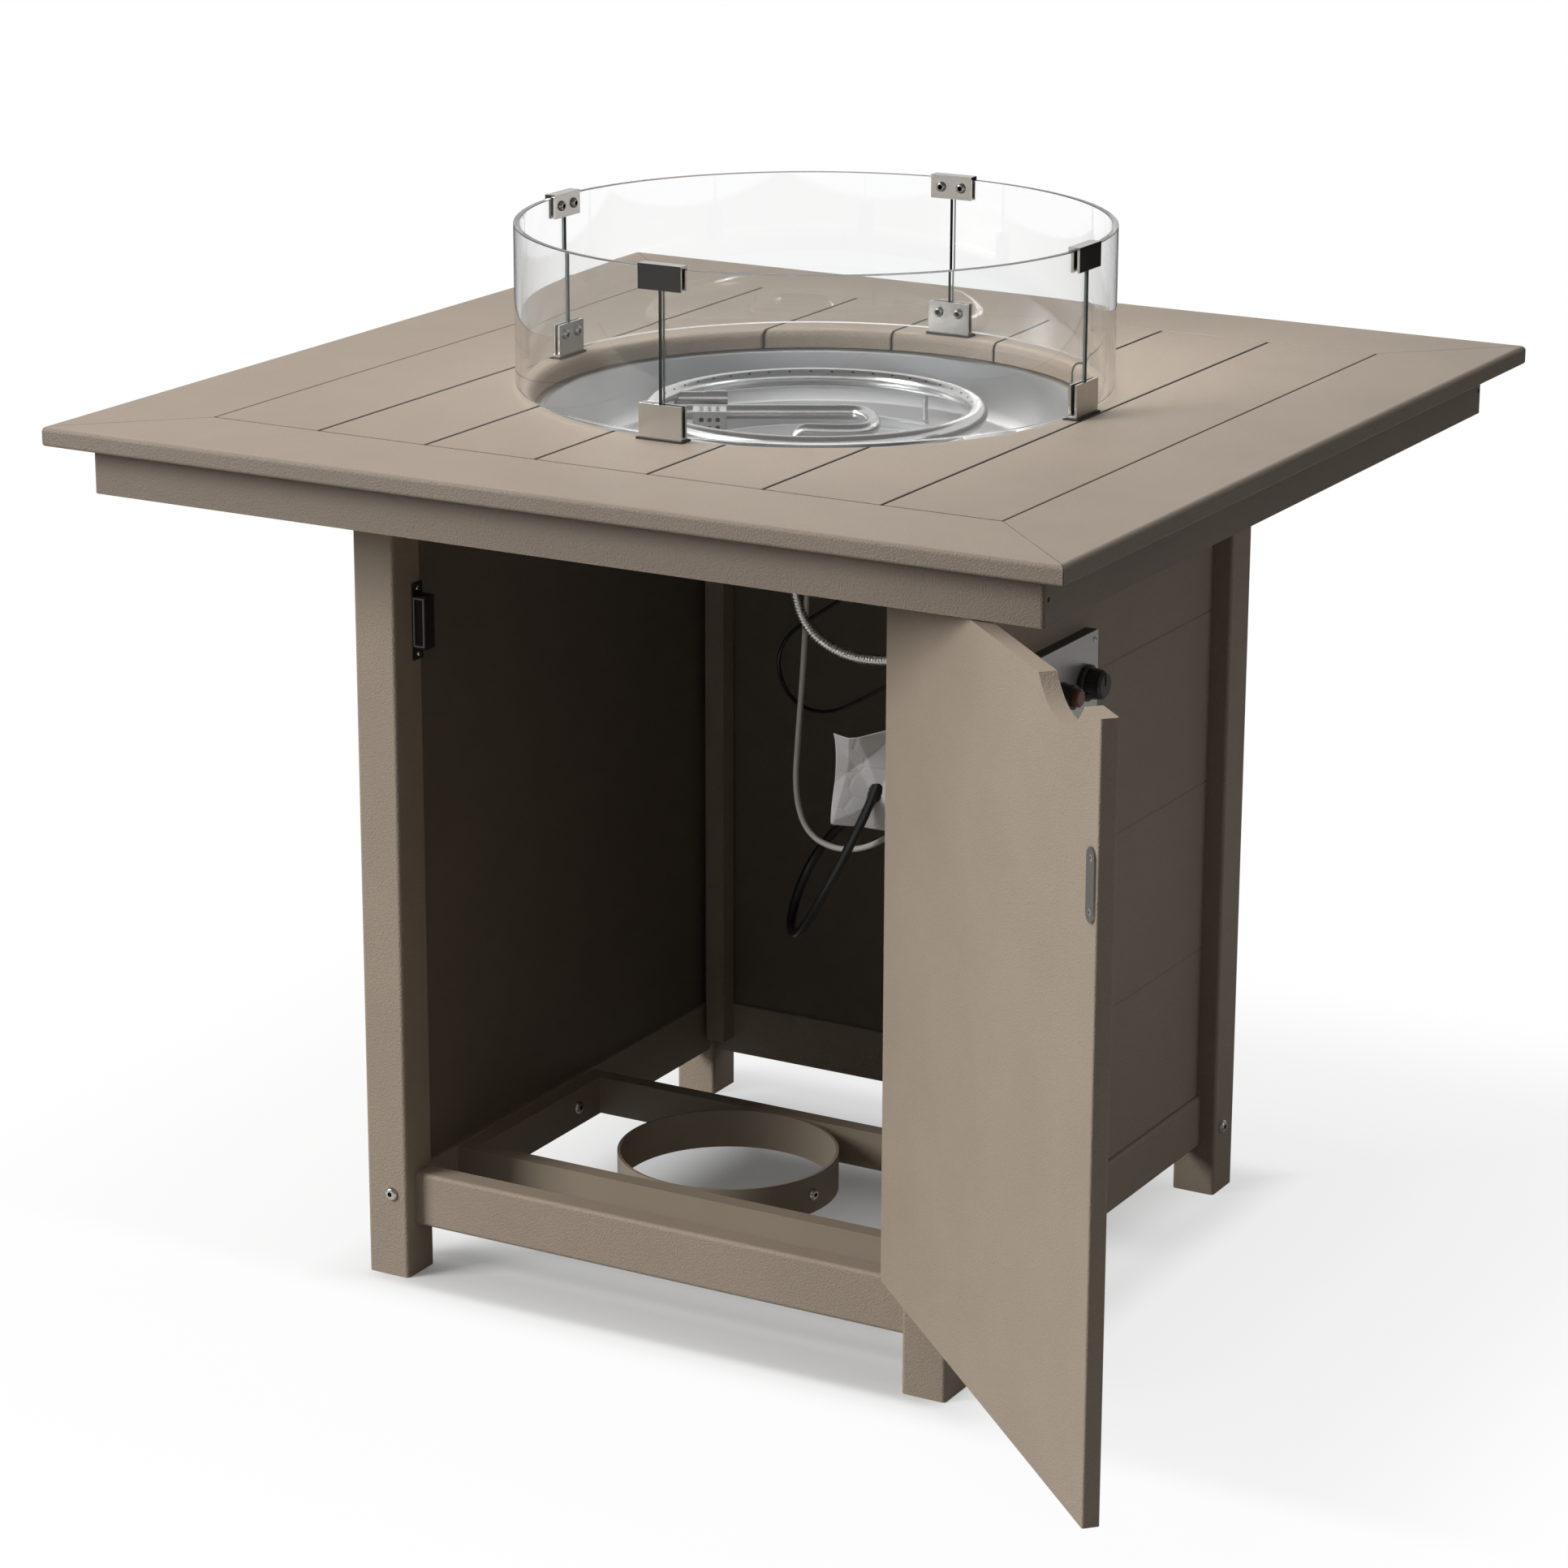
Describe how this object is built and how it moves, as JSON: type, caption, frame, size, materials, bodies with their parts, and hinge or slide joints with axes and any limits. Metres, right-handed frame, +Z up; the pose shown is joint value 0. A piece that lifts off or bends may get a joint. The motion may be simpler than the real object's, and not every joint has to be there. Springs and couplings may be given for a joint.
{
  "type": "gas fire pit table",
  "caption": "Square counter-height patio table with a ring burner in its top, a round glass wind guard, and a gas cabinet with a hinged door below.",
  "frame": {"origin": "on the floor, on the vertical axis through the centre of the square top", "axes": "+Z up, -Y towards the door side, +X towards the control panel side"},
  "size_m": [1.2022, 1.2517, 1.049],
  "materials": {
    "lumber": "fine pebbled texture, satin",
    "coated_steel": "powder coated, satin",
    "hinges": "stainless, satin",
    "black_plastic": "moulded, satin",
    "knob_plastic": "moulded, satin",
    "button_plastic": "moulded, gloss",
    "pan_steel": "pressed stainless, spun brushing",
    "burner_steel": "stainless, satin",
    "grey_plate": "satin",
    "valve_metal": "cast and machined",
    "flex_steel": "corrugated stainless",
    "grey_lead": "matt sleeve",
    "black_rubber": "matt",
    "paper": "coated paper",
    "regulator_metal": "cast, painted",
    "clear_glass": "clear tempered",
    "clip_steel": "stainless, satin",
    "pad_rubber": "matt"
  },
  "bodies": {
    "base": {"top_board_front": "lumber", "top_board_right": "lumber", "top_board_back": "lumber", "top_board_left": "lumber", "plank_1": "lumber", "plank_2": "lumber", "plank_3": "lumber", "plank_4": "lumber", "plank_5": "lumber", "plank_6": "lumber", "plank_7": "lumber", "plank_battens": "lumber", "apron_front": "lumber", "apron_right": "lumber", "apron_back": "lumber", "apron_left": "lumber", "leg_front_left": "lumber", "leg_front_right": "lumber", "leg_back_right": "lumber", "leg_back_left": "lumber", "rail_front": "lumber", "rail_right": "lumber", "rail_back": "lumber", "rail_left": "lumber", "head_rails": "lumber", "wall_left": "lumber", "wall_back": "lumber", "wall_right": "lumber", "corner_cleats": "lumber", "shelf_cross_bars": "coated_steel", "shelf_side_bars": "coated_steel", "tank_ring": "coated_steel", "hinge_frame_leaves": "hinges", "hinge_pins": "hinges", "magnetic_catch": "black_plastic", "control_housing": "black_plastic", "igniter_body": "black_plastic", "burner_pan": "pan_steel", "burner_ring": "burner_steel", "feed_tube": "burner_steel", "pilot_tube": "burner_steel", "pilot_cage": "burner_steel", "control_plate": "grey_plate", "gas_valve": "valve_metal", "flex_hose": "flex_steel", "igniter_lead": "grey_lead", "sensor_lead": "black_rubber", "supply_hose": "black_rubber", "hose_tag": "paper", "regulator": "regulator_metal"},
    "door": {"door_panel": "lumber", "hinge_door_leaves": "hinges", "strike_plate": "hinges"},
    "knob": {"gas_knob": "knob_plastic"},
    "button": {"igniter_button": "button_plastic"},
    "guard": {"glass_panels": "clear_glass", "clip_plates": "clip_steel", "clip_pads": "pad_rubber"}
  },
  "joints": [
    {"name": "door_hinge", "type": "hinge", "parent": "base", "child": "door", "pos_m": [0.2754, -0.3196, 0.4645], "axis": [0, 0, 1], "range_deg": [-136, 20]},
    {"name": "knob_turn", "type": "hinge", "parent": "base", "child": "knob", "pos_m": [0.321, -0.04, 0.635], "axis": [1, 0, 0], "range_deg": [0, 90]},
    {"name": "igniter_press", "type": "slide", "parent": "base", "child": "button", "axis": [-1, 0, 0], "range_m": [0, 0.004], "stiffness_N_per_m": 800},
    {"name": "guard_lift", "type": "slide", "parent": "base", "child": "guard", "axis": [0, 0, 1], "range_m": [0, 0.25]}
  ]
}
